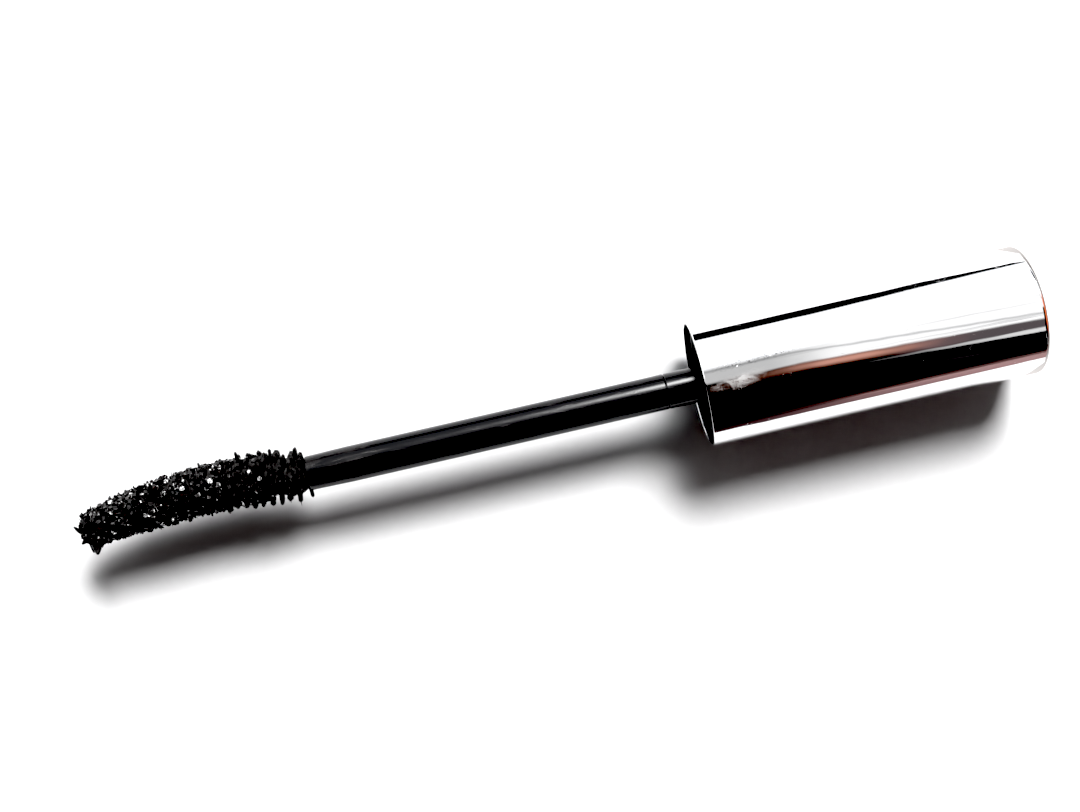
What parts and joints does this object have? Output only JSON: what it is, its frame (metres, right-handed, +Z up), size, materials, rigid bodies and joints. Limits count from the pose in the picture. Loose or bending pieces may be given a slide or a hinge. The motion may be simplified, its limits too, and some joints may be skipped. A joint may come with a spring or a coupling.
{
  "type": "mascara wand",
  "caption": "Mascara wand: a mirror-metal screw cap with a black moulded stem and a curved twisted-wire brush at its end.",
  "frame": {"origin": "on the wand's axis, in the plane of the cap's open rim, where the bottle's shoulder meets it", "axes": "+X along the wand to the cap's closed end, so the brush is at -X; +Y to the outer side of the brush's curve; +Z up as the wand lies on the cap's wall"},
  "size_m": [0.1353, 0.018, 0.018],
  "materials": {
    "shell_metal": "polished",
    "liner_plastic": "satin",
    "seal_foam": "matte",
    "stem_plastic": "gloss",
    "wire_steel": "satin",
    "bristle_nylon": "satin"
  },
  "bodies": {
    "root": {"outer_shell": "shell_metal", "inner_cap": "liner_plastic", "neck_seal": "seal_foam", "stem": "stem_plastic", "core_wire": "wire_steel", "bristles": "bristle_nylon"}
  },
  "joints": []
}
